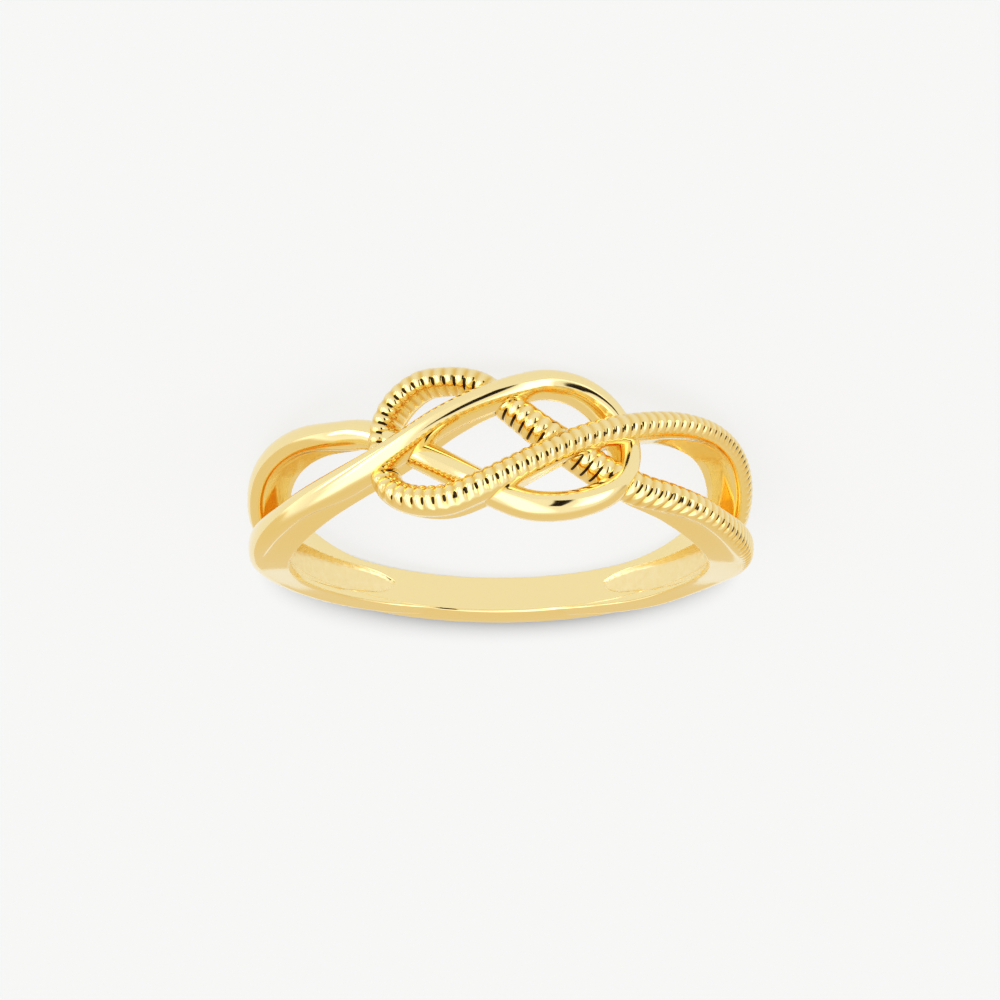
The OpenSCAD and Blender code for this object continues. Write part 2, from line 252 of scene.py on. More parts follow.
@dataclass(frozen=True)
class Recess:
    """The shallow hollow that the casting has inside each shoulder, on the finger side."""

    depth: float = 0.5
    width: float = 1.3
    band_w: float = 1.54
    wall: float = 0.13
    upper_end: float = 1.0
    lower_end: float = 0.6
    skin_from: float = 0.1
    table_steps: int = 400

    def depth_at(self, angle: np.ndarray, offset: np.ndarray) -> np.ndarray:
        """How deep the recess is at points of the hole's wall.

        The depth is the table's, times a gentle step that falls from 1 to 0 over the width of the
        recess's wall, which stands on the outline |offset - middle| = half width. At the table's
        ends the step falls over upper_end and lower_end degrees.

        Args:
            angle: degrees from the knot's middle.
            offset: millimetres along the finger.

        Returns:
            Depths in millimetres, nothing outside the outline.
        """
        table = np.array(RECESS_PATH, float)
        at, middles, widths, depths = spline_rows(table, np.linspace(0, len(table) - 1, self.table_steps)).T
        away = np.abs((angle + 180) % 360 - 180)
        middle = np.interp(away, at, middles) * self.band_w
        half = np.interp(away, at, widths) * self.width / 2
        deep = np.interp(away, at, depths) * self.depth
        ends = ramp(away, at[0], at[0] + self.upper_end) * ramp(away, at[-1] + self.lower_end, at[-1])
        inside = half - np.abs(offset - middle)
        return deep * ease(ramp(inside, -self.wall / 2, self.wall / 2) * ends)

    def floor_mask(self, angle: np.ndarray, offset: np.ndarray) -> np.ndarray:
        """1 on the floor of the recess, where the metal stays as cast, and 0 on the polished wall."""
        return ramp(self.depth_at(angle, offset), 0, self.skin_from * self.depth)


# Meshes

@dataclass
class Loft:
    """A closed surface over a grid of points: sections of equal length, each a closed loop."""

    points: np.ndarray
    masks: dict[str, np.ndarray] = field(default_factory=dict)

    def faces(self) -> tuple[np.ndarray, np.ndarray]:
        """Quads between the sections and fans of triangles over the two end sections.

        Point k of section i is vertex i * m + k. A quad joins points k and k + 1 of sections i and
        i + 1, with k + 1 taken round the loop, and each fan has the middle of its section as hub.

        Returns:
            The quads and the triangles, by vertex number.
        """
        n, m = self.points.shape[:2]
        i, k = np.arange(n - 1)[:, None] * m, np.arange(m)[None, :]
        a, b = i + k, i + (k + 1) % m
        quads = np.stack([a, b, b + m, a + m], -1).reshape(-1, 4)
        ring, after = np.arange(m), (np.arange(m) + 1) % m
        start = np.stack([np.full(m, n * m), after, ring], -1)
        end = np.stack([np.full(m, n * m + 1), ring + (n - 1) * m, after + (n - 1) * m], -1)
        return quads, np.concatenate([start, end])

    def build(self, name: str, placement: Placement, crease: float) -> bpy.types.Object:
        """Put the surface into a mesh object at its place in the row's frame.

        The faces are turned round if they point inwards, which shows as a sum of
        a . (b x c + c x d) over the quads abcd, about six times the volume, that is below 0.

        Args:
            name: the piece's name.
            placement: where the ring's own frame lies.
            crease: angle in degrees past which an edge stays sharp.

        Returns:
            The new object, at the origin and unturned, with one attribute for each mask.
        """
        hubs = self.points[[0, -1]].mean(axis=1)
        verts = placement.place(np.concatenate([self.points.reshape(-1, 3), hubs]))
        quads, tris = self.faces()
        a, b, c, d = (verts[quads[:, k]] for k in range(4))
        if (a * (np.cross(b, c) + np.cross(c, d))).sum() < 0:
            quads, tris = quads[:, ::-1], tris[:, ::-1]
        mesh = bpy.data.meshes.new(name)
        mesh.from_pydata(verts, [], quads.tolist() + tris.tolist())
        for label, values in self.masks.items():
            layer = mesh.attributes.new(label, FLOAT, "POINT")
            ends = values[[0, -1]].mean(axis=1)
            layer.data.foreach_set("value", np.concatenate([values.ravel(), ends]).astype(np.float32))
        mesh.shade_smooth()
        mesh.set_sharp_from_angle(angle=np.radians(crease))
        mesh.update()
        piece = bpy.data.objects.new(name, mesh)
        bpy.context.scene.collection.objects.link(piece)
        return piece


@dataclass
class GoldPiece:
    """A piece of the casting: it rides on the ring's body and stands for part of the ring's solid."""

    name: str
    hole: Hole = field(default_factory=Hole)
    recess: Recess = field(default_factory=Recess)
    corner_r: float = 0.05
    crease: float = 42.0

    def loft(self) -> Loft:
        """The piece's surface, which each kind of piece gives."""
        raise NotImplementedError

    def build(self, placement: Placement, finish: "GoldFinish") -> bpy.types.Object:
        """Make the piece, dress it and fasten it to the frame.

        Args:
            placement: where the ring's own frame lies.
            finish: the gold it is dressed in.

        Returns:
            The finished object.
        """
        piece = self.loft().build(self.name, placement, self.crease)
        piece.data.materials.append(finish.material())
        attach(piece, "root")
        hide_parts("ring")
        mesh = piece.data
        log.info("%s: %d vertices, %d faces", self.name, len(mesh.vertices), len(mesh.polygons))
        return piece


@dataclass
class Shank(GoldPiece):
    """The plain band round the bottom of the ring. Its middle line lies a little towards the front."""

    width: float = 1.60
    thickness: float = 1.54
    middle: float = 0.04
    edge_r: float = 0.15
    end_angle: float = 104.0
    sections: int = 420
    inner_points: int = 56
    outer_points: int = 8
    edge_points: int = 9
    corner_points: int = 5

    def loft(self) -> Loft:
        """Sections of the band at even angles from one shoulder round the bottom to the other.

        The inner line lies on the hole's wall plus the depth of the recess there. A quarter circle of
        corner_r leads from it to each rim, and one of edge_r from each rim to the outer face.

        Returns:
            The band's surface, with its as-cast mask and empty masks for what only ribs have.
        """
        half, c, e = self.width / 2, self.corner_r, self.edge_r
        angle = np.linspace(self.end_angle, 360 - self.end_angle, self.sections)[:, None]
        across = np.linspace(-half + c, half - c, self.inner_points)[None, :]
        inner = self.recess.depth_at(angle, across + self.middle)
        turn = np.linspace(0, np.pi / 2, self.corner_points)[1:]
        corner_u, corner_h = half - c + c * np.sin(turn), c * (1 - np.cos(turn))
        bend = np.linspace(0, np.pi / 2, self.edge_points)
        edge_u, edge_h = half - e + e * np.cos(bend), self.thickness - e + e * np.sin(bend)
        top_u = np.linspace(half - e, -half + e, self.outer_points)[1:-1]
        top_h = np.full(top_u.shape, self.thickness)
        rim_u = np.concatenate([corner_u, edge_u, top_u, -edge_u[::-1], -corner_u[::-1]])
        rim_h = np.concatenate([corner_h, edge_h, top_h, edge_h[::-1], corner_h[::-1]])
        is_corner = np.zeros(len(rim_h))
        is_corner[:len(turn)] = is_corner[-len(turn):] = 1
        sunk = np.where(rim_u[None, :] > 0, inner[:, -1:], inner[:, :1])
        height = np.concatenate([inner, rim_h + sunk * is_corner], axis=1)
        line = np.concatenate([across[0], rim_u])
        offset = np.broadcast_to(line + self.middle, height.shape)
        plain = np.zeros(height.shape)
        cast = plain.copy()
        cast[:, :self.inner_points] = self.recess.floor_mask(angle, across + self.middle)
        # The band has no ribs, so its groove mask and its painted-reflection mask stay empty.
        masks = {"cast": cast, "groove": plain, "mark": plain}
        return Loft(self.hole.point(angle, offset, height), masks)


# Columns: share of the rib's pitch, and drop below the ridge as a share of the rib's depth. The ridge
# and the groove are both rounded, and the ridge is the broader one.
RIB_PROFILE = (
    (0.00, 1.00), (0.06, 0.94), (0.13, 0.75), (0.21, 0.48), (0.32, 0.17),
    (0.50, 0.00), (0.68, 0.17), (0.79, 0.48), (0.87, 0.75), (0.94, 0.94))


@dataclass
class Strand(GoldPiece):
    """A strand of the knot: a rounded bead on a wall that stands on the finger, ribbed or smooth.

    Its foot is lifted a hair off the hole's wall, by lift, so that pieces that cross share no face.
    """

    path: tuple = ()
    heights: Heights = field(default_factory=Heights)
    top_r: float = 0.49
    crest: float = 0.485
    wall_t: float = 0.82
    rib_pitch: float = 0.422
    rib_depth: float = 0.0
    rib_profile: tuple = RIB_PROFILE
    rib_least: float = 0.0001
    rib_outer: tuple[float, float] = (0.3, 0.9)
    rib_inner: tuple[float, float] = (0.06, 0.5)
    rib_leg: float = 0.05
    knot_r: float = 0.55
    knot_tall: float = 0.85
    knot_span: tuple[float, float] = (38.0, 56.0)
    # The bead's side, and the band of how far a point faces it, where the grooves get a painted dark
    # reflection.
    mark_side: tuple[float, float, float] = (0.6, 0.0, 0.8)
    mark_band: tuple[float, float, float] = (0.2, 0.5, 0.8)
    plain_step: float = 0.14
    crown: float = 0.35
    merge_from: float = 0.3
    merge_to: float = 0.72
    neck_most: float = 0.99
    bead_points: int = 33
    wall_points: int = 3
    corner_points: int = 4
    foot_points: int = 16
    lift: float = 0.003
    run_steps: int = 6000

    def stations(self) -> tuple[np.ndarray, np.ndarray]:
        """Where the strand's sections stand.

        Lengths of the path are added up along the curve. Sections stand plain_step apart where the
        strand is smooth. Whole ribs are laid one after the other where it is ribbed, and each has its
        sections where rib_profile says. The last one ends in a groove.

        Returns:
            The path's rows at the sections, and each section's drop as a share of the rib's depth.
        """
        rows = self.heights.rows(self.path, self.rib_depth)
        place = np.linspace(0, len(rows) - 1, self.run_steps)
        fine = spline_rows(rows, place)
        points = self.hole.point(fine[:, 0], fine[:, 1], fine[:, 2])
        run = np.concatenate([[0], np.cumsum(np.linalg.norm(np.diff(points, axis=0), axis=1))])
        ribbed = run[fine[:, 4] > self.rib_least]
        first, last = (ribbed[0], ribbed[-1]) if len(ribbed) else (run[-1], run[-1])
        ribs = int((last - first) / self.rib_pitch)
        share, fall = np.array(self.rib_profile).T
        on_ribs = first + (np.arange(ribs)[:, None] + share[None, :]).ravel() * self.rib_pitch
        after = first + ribs * self.rib_pitch
        before = np.linspace(0, first, max(2, int(first / self.plain_step)), endpoint=False)
        rest = np.linspace(after, run[-1], max(2, int((run[-1] - after) / self.plain_step)))
        rest = rest[:len(rest) if after < run[-1] else 0]
        at = np.concatenate([before, on_ribs, rest])
        drop = np.concatenate([np.zeros(len(before)), np.tile(fall, ribs), np.zeros(len(rest))])
        if ribs and len(rest):
            drop[len(before) + len(on_ribs)] = 1.0
        return spline_rows(rows, np.interp(at, run, place)), drop

    def bead(self, rows: np.ndarray, drop: np.ndarray) -> tuple[np.ndarray, ...]:
        """The bead of each section, from where it leaves one wall over the top to the other wall.

        With a as the angle round the bead, its line is x = (r - sunk) cos a and
        y = (tall - sunk) sin a - (tall - crest), so that its top stays crest above the path. It starts
        and ends at the neck, where r sin(neck) is half the wall's width. Over the knot, r turns from
        top_r to knot_r and tall from crest to knot_tall. Where the strand is flared, its sides are
        moved apart by flare * cos a / sqrt(cos^2 a + crown^2), and towards the band r turns into half
        the wall's width. Sunk is the rib's drop, which grows with sin a from the flank to the top: on
        the outer side from rib_outer's first to its second value, and on the inner side over
        rib_inner's second value, from its first above the wall on the knot and from rib_leg elsewhere.

        Args:
            rows: the path's rows at the sections.
            drop: each section's drop as a share of the rib's depth.

        Returns:
            x, y, sunk and the angle a of the bead's points, a row for each section.
        """
        flare, around, rib = rows[:, 3:4], np.abs(rows[:, :1]), np.clip(rows[:, 4:5], 0, None)
        merge = ease(ramp(flare / self.heights.flare, self.merge_from, self.merge_to))
        over = ease(ramp(around, self.knot_span[1], self.knot_span[0]))
        bead_r = self.top_r + (self.knot_r - self.top_r) * over
        tall = self.crest + (self.knot_tall - self.crest) * over
        flush = bead_r + (self.wall_t / 2 - bead_r) * merge
        neck = np.arcsin(np.minimum(self.neck_most, self.wall_t / 2 / flush))
        a = neck - np.pi / 2 + np.linspace(0, 1, self.bead_points)[None, :] * (2 * np.pi - 2 * neck)
        inner = (self.rib_inner[0] - np.cos(neck)) * over + self.rib_leg * (1 - over)
        start = np.where(np.cos(a) > 0, inner, self.rib_outer[0])
        reach = np.where(np.cos(a) > 0, self.rib_inner[1], self.rib_outer[1] - self.rib_outer[0])
        sunk = drop[:, None] * rib * ease(ramp(np.sin(a), start, start + reach))
        spread = flare * (1 + (np.sqrt(1 + self.crown**2) - 1) * merge)
        x = (flush - sunk) * np.cos(a) + spread * np.cos(a) / np.sqrt(np.cos(a) ** 2 + self.crown**2)
        return x, (tall - sunk) * np.sin(a) - (tall - self.crest), sunk, a

    def foot(self, rows: np.ndarray, up: np.ndarray, side: np.ndarray,
             stand: np.ndarray) -> tuple[np.ndarray, ...]:
        """The foot of each section, which lies on the hole's wall plus the recess.

        At x across the strand its height is sqrt(R^2 - (x s)^2) less the path's own, where s is how
        much the section lies round the ring and not along the finger. A quarter circle of corner_r
        rounds both of its edges.

        Args:
            rows: the path's rows at the sections.
            up: for each section, the direction away from the finger's axis.
            side: for each section, the direction across the strand.
            stand: for each section, the path's distance from the finger's axis.

        Returns:
            x, y and the as-cast mask of the foot's points, a row for each section.
        """
        round_dir = np.stack([up[:, 1], -up[:, 0], np.zeros(len(up))], -1)
        round_share = (side * round_dir).sum(axis=1, keepdims=True)
        flat_half = self.wall_t / 2 + rows[:, 3:4] - self.corner_r
        turn = np.linspace(0, np.pi / 2, self.corner_points)[None, :]
        flat = np.linspace(1, -1, self.foot_points)[None, 1:-1]
        edge = flat_half + self.corner_r * np.cos(turn)
        x = np.concatenate([-edge, -flat_half * flat, edge[:, ::-1]], axis=1)
        angle = rows[:, :1] + np.degrees(np.arctan2(x * round_share, self.hole.radius))
        offset = rows[:, 1:2] + x * side[:, 2:3]
        floor_r = self.hole.radius + self.lift + self.recess.depth_at(angle, offset)
        y = np.sqrt(floor_r**2 - (x * round_share) ** 2) - stand
        raised = self.corner_r * (1 - np.sin(turn))
        y[:, :self.corner_points] += raised
        y[:, -self.corner_points:] += raised[:, ::-1]
        return x, y, self.recess.floor_mask(angle, offset)

    def wall(self, start: np.ndarray, end: np.ndarray) -> np.ndarray:
        """The points of a straight wall between its ends: start + (end - start) * share."""
        return start + (end - start) * np.linspace(0, 1, self.wall_points + 2)[None, 1:-1]

    def loft(self) -> Loft:
        """Sections of the strand, square to its path: the foot, a wall, the bead and the other wall.

        A groove mask follows the rib's drop. A mask for the painted dark reflection in the grooves is the
        same as the groove mask on the side of the bead that faces the set direction alone: it rises over the
        band's first value of how far a point faces that way, and falls from the second to the third.

        Returns:
            The strand's surface, with its as-cast, groove and painted-reflection masks.
        """
        rows, drop = self.stations()
        middle = self.hole.point(rows[:, 0], rows[:, 1], rows[:, 2])
        up = middle * [1, 1, 0]
        stand = np.linalg.norm(up, axis=1, keepdims=True)
        up = up / stand
        side = np.cross(up, np.gradient(middle, axis=0))
        side /= np.linalg.norm(side, axis=1, keepdims=True)
        bead_x, bead_y, sunk, a = self.bead(rows, drop)
        foot_x, foot_y, skin = self.foot(rows, up, side, stand)
        x, y = (np.concatenate([foot, self.wall(foot[:, -1:], bead[:, :1]), bead,
                                self.wall(bead[:, -1:], foot[:, :1])], axis=1)
                for foot, bead in ((foot_x, bead_x), (foot_y, bead_y)))
        points = middle[:, None] + side[:, None] * x[..., None] + up[:, None] * y[..., None]
        cast, groove, mark = (np.zeros(x.shape) for _ in range(3))
        cast[:, :foot_x.shape[1]] = skin
        first = foot_x.shape[1] + self.wall_points
        on_bead = slice(first, first + self.bead_points)
        groove[:, on_bead] = sunk / max(self.rib_depth, self.rib_least)
        facing = np.cos(a) * (side @ np.array(self.mark_side))[:, None]
        rise, top, fall = self.mark_band
        # Painted dark reflection: the groove mask, kept on the side of the bead that faces the set
        # direction.
        mark[:, on_bead] = groove[:, on_bead] * ramp(facing, 0, rise) * ramp(facing, fall, top)
        return Loft(points, {"cast": cast, "groove": groove, "mark": mark})


# Finishes

class NodeGraph:
    """A short way to write a node tree: nodes are added with their settings and joined by name."""

    def __init__(self, tree: bpy.types.NodeTree) -> None:
        """Take an empty tree to fill."""
        self.tree = tree

    def add(self, kind: str, settings: dict | None = None, **links: object) -> bpy.types.Node:
        """Add a node.

        Args:
            kind: the node's type.
            settings: the node's own properties.
            links: for each input, by name with _ for a space or by number after i, a socket or a value.

        Returns:
            The new node.
        """
        node = self.tree.nodes.new(kind)
        for key, value in (settings or {}).items():
            setattr(node, key, value)
        for key, value in links.items():
            numbered = key[0] == "i" and key[1:].isdigit()
            target = node.inputs[int(key[1:])] if numbered else node.inputs[key.replace("_", " ")]
            if isinstance(value, bpy.types.NodeSocket):
                self.tree.links.new(value, target)
            else:
                target.default_value = value
        return node

    def math(self, operation: str, *values: object) -> bpy.types.NodeSocket:
        """What one or two values come to, by Blender's name for the operation."""
        links = {f"i{k}": value for k, value in enumerate(values)}
        return self.add("ShaderNodeMath", {"operation": operation}, **links).outputs[0]

    def remap(self, value: object, band: tuple, to_low: float, to_high: float) -> bpy.types.NodeSocket:
        """A value moved smoothly from a band to another range, held at its ends."""
        return self.add("ShaderNodeMapRange", {"interpolation_type": "SMOOTHSTEP"}, Value=value,
                        From_Min=band[0], From_Max=band[1], To_Min=to_low, To_Max=to_high).outputs[0]

    def noise(self, place: object, scale: float, detail: float, roughness: float) -> bpy.types.NodeSocket:
        """A cloud noise at a scale, with its detail and roughness."""
        return self.add("ShaderNodeTexNoise", {"noise_dimensions": "3D"}, Vector=place, Scale=scale,
                        Detail=detail, Roughness=roughness).outputs[0]

    def blend(self, share: object, low: object, high: object) -> bpy.types.NodeSocket:
        """One colour turning into another with a share from 0 to 1."""
        return self.add("ShaderNodeMix", {"data_type": "RGBA"}, i0=share, i6=low, i7=high).outputs[2]


def group_tree(name: str, inputs: dict[str, tuple], outputs: dict[str, str]) -> tuple[NodeGraph, dict, dict]:
    """Start a shader node group.

    Args:
        name: the group's name.
        inputs: for each input, its socket type and the value it starts with.
        outputs: for each output, its socket type.

    Returns:
        The graph to fill, the group's input sockets and its output sockets, by name.
    """
    tree = bpy.data.node_groups.new(name, "ShaderNodeTree")
    for label, (kind, start) in inputs.items():
        tree.interface.new_socket(label, in_out="INPUT", socket_type=kind).default_value = start
    for label, kind in outputs.items():
        tree.interface.new_socket(label, in_out="OUTPUT", socket_type=kind)
    graph = NodeGraph(tree)
    taken, given = tree.nodes.new("NodeGroupInput"), tree.nodes.new("NodeGroupOutput")
    return graph, {k: taken.outputs[k] for k in inputs}, {k: given.inputs[k] for k in outputs}


@dataclass(frozen=True)
class PolishMarks:
    """What a wheel leaves on polished gold: broad soft unevenness, and hairlines too fine to count.

    Broad and hair hold the scale, detail and roughness of their noise.
    """

    name: str = "polish_marks"
    broad: tuple[float, float, float] = (420.0, 2.0, 0.5)
    hair: tuple[float, float, float] = (5200.0, 3.0, 0.6)
    hair_stretch: tuple[float, float, float] = (0.12, 1.0, 1.0)
    spot_band: tuple[float, float] = (0.5, 0.75)

    def tree(self) -> bpy.types.NodeTree:
        """Make the group, once.

        Returns:
            The group, which gives a height and a change of roughness.
        """
        if self.name in bpy.data.node_groups:
            return bpy.data.node_groups[self.name]
        graph, taken, given = group_tree(
            self.name,
            {"Vector": (VECTOR, (0, 0, 0)), "Waves": (VALUE, 1.0), "Hairlines": (VALUE, 1.0),
             "Dull": (VALUE, 0.05)},
            {"Height": VALUE, "Roughness": VALUE})
        broad = graph.noise(taken["Vector"], *self.broad)
        stretched = graph.add("ShaderNodeMapping", {}, Vector=taken["Vector"], Scale=self.hair_stretch)
        hair = graph.noise(stretched.outputs[0], *self.hair)
        waves = graph.math("MULTIPLY", broad, taken["Waves"])
        lines = graph.math("MULTIPLY", hair, taken["Hairlines"])
        spots = graph.remap(broad, self.spot_band, 0.0, 1.0)
        uneven = graph.math("MULTIPLY", graph.math("SUBTRACT", hair, 0.5), taken["Dull"])
        dull = graph.math("ADD", uneven, graph.math("MULTIPLY", spots, taken["Dull"]))
        graph.tree.links.new(graph.math("ADD", waves, lines), given["Height"])
        graph.tree.links.new(dull, given["Roughness"])
        return graph.tree


@dataclass(frozen=True)
class CastSkin:
    """The grain that a casting keeps where no wheel reaches: small soft pits and grains.

    Grain holds the scale, detail and roughness of its noise.
    """

    name: str = "cast_skin"
    grain: tuple[float, float, float] = (7000.0, 4.0, 0.65)
    pit_scale: float = 3600.0
    pit_round: float = 0.6
    shade_band: tuple[float, float] = (0.3, 1.2)

    def tree(self) -> bpy.types.NodeTree:
        """Make the group, once.

        Returns:
            The group, which gives a height and a shade for the skin's colour.
        """
        if self.name in bpy.data.node_groups:
            return bpy.data.node_groups[self.name]
        graph, taken, given = group_tree(
            self.name, {"Vector": (VECTOR, (0, 0, 0)), "Grain": (VALUE, 1.0), "Pits": (VALUE, 1.0)},
            {"Height": VALUE, "Shade": VALUE})
        grain = graph.noise(taken["Vector"], *self.grain)
        cells = graph.add("ShaderNodeTexVoronoi", {"feature": "SMOOTH_F1"}, Vector=taken["Vector"],
                          Scale=self.pit_scale, Smoothness=self.pit_round).outputs["Distance"]
        pits = graph.math("MULTIPLY", cells, taken["Pits"])
        height = graph.math("ADD", graph.math("MULTIPLY", grain, taken["Grain"]), pits)
        graph.tree.links.new(height, given["Height"])
        graph.tree.links.new(graph.remap(height, self.shade_band, 0.0, 1.0), given["Shade"])
        return graph.tree


@dataclass(frozen=True)
class GoldFinish:
    """Polished yellow gold, with the skin of the casting where the piece's cast mask is set.

    The gold is deeper in colour down in the grooves between ribs. A painted dark reflection goes into the
    grooves where the painted-reflection mask is set: near black, standing for something dark mirrored
    from a direction in which the pale table lies here.
    """

    name: str
    color: tuple[float, float, float, float] = (0.96, 0.80, 0.43, 1)
    deep_color: tuple[float, float, float, float] = (0.84, 0.57, 0.17, 1)
    cast_color: tuple[float, float, float, float] = (0.98, 0.85, 0.52, 1)
    cast_shade: tuple[float, float, float, float] = (0.95, 0.78, 0.42, 1)
    # Near-black painted reflection in the grooves, and the band of its mask over which it comes in.
    mark_band: tuple[float, float] = (0.63, 0.74)
    mark_color: tuple[float, float, float, float] = (0.05, 0.03, 0.012, 1)
    roughness: float = 0.09
    cast_roughness: float = 0.3
    groove_band: tuple[float, float] = (0.3, 1.0)
    groove_roughness: float = 0.16
    waves: float = 0.5
    hairlines: float = 0.3
    dull: float = 0.03
    grain: float = 0.7
    pits: float = 0.6
    bump_m: float = 0.000004
    bump_strength: float = 0.35
    cast_bump_m: float = 0.000012

    def material(self) -> bpy.types.Material:
        """Make the material.

        Returns:
            The material, with colour, roughness and normal from the shared groups and the masks.
        """
        made = bpy.data.materials.new(self.name)
        made.use_nodes = True
        made.node_tree.nodes.clear()
        graph = NodeGraph(made.node_tree)
        place = graph.add("ShaderNodeTexCoord").outputs["Object"]
        cast, groove, mark = (graph.add("ShaderNodeAttribute", {"attribute_name": label}).outputs["Fac"]
                              for label in ("cast", "groove", "mark"))
        polish = graph.add("ShaderNodeGroup", {"node_tree": PolishMarks().tree()}, Vector=place,
                           Waves=self.waves, Hairlines=self.hairlines, Dull=self.dull)
        skin = graph.add("ShaderNodeGroup", {"node_tree": CastSkin().tree()}, Vector=place,
                         Grain=self.grain, Pits=self.pits)
        toned = graph.blend(groove, self.color, self.deep_color)
        # Paint the dark reflection into the grooves over the toned gold.
        marked = graph.blend(graph.remap(mark, self.mark_band, 0.0, 1.0), toned, self.mark_color)
        skin_color = graph.blend(skin.outputs["Shade"], self.cast_shade, self.cast_color)
        color = graph.blend(cast, marked, skin_color)
        worn = graph.math("ADD", polish.outputs["Roughness"],
                          graph.remap(groove, self.groove_band, self.roughness, self.groove_roughness))
        rough = graph.add("ShaderNodeMix", {"data_type": FLOAT}, i0=cast, i2=worn, i3=self.cast_roughness)
        fine = graph.add("ShaderNodeBump", {}, Height=polish.outputs["Height"], Distance=self.bump_m,
                         Strength=self.bump_strength)
        coarse = graph.add("ShaderNodeBump", {}, Height=skin.outputs["Height"], Distance=self.cast_bump_m,
                           Strength=cast, Normal=fine.outputs[0])
        metal = graph.add("ShaderNodeBsdfPrincipled")
        metal.inputs[Socket.METALLIC.value].default_value = 1.0
        for socket, feeds in ((color, Socket.COLOR), (rough.outputs[0], Socket.ROUGHNESS),
                              (coarse.outputs[0], Socket.NORMAL)):
            graph.tree.links.new(socket, metal.inputs[feeds.value])
        out = graph.add("ShaderNodeOutputMaterial")
        graph.tree.links.new(metal.outputs[0], out.inputs[0])
        return made


# Studio

@dataclass(frozen=True)
class Card:
    """A soft light or a flag of the studio, far away, given by where it stands as seen from the ring.

    Right and up are degrees away from the camera, in the picture's own directions, so that 90 is
    square to the view and more is behind the ring. Roll turns the card's upper end to the left.
    """

    right: float
    up: float
    width: float
    height: float
    strength: float
    soft: float
    roll: float = 0.0
    tint: tuple[float, float, float] = (1.0, 1.0, 1.0)


@dataclass(frozen=True)
class View:
    """Directions of the product view, in the row's frame."""

    right: np.ndarray
    up: np.ndarray
    back: np.ndarray

    @classmethod
    def over_knot(cls, placement: Placement, lift_deg: float) -> "View":
        """The view from over the knot.

        Args:
            placement: where the ring's own frame lies.
            lift_deg: degrees from the finger's axis to the way back to the camera.

        Returns:
            The view's directions.
        """
        e = np.radians(lift_deg)
        return cls(placement.turn((1, 0, 0)), placement.turn((0, np.cos(e), -np.sin(e))),
                   placement.turn((0, np.sin(e), np.cos(e))))

    def direction(self, right: float, up: float) -> np.ndarray:
        """A direction t = |(right, up)| degrees away from the camera: back cos t + side sin t.

        Args:
            right: degrees to the right.
            up: degrees up.

        Returns:
            The unit direction, in the row's frame.
        """
        away = np.radians(np.hypot(right, up))
        side = right * self.right + up * self.up
        return self.back * np.cos(away) + side / np.linalg.norm(side) * np.sin(away)


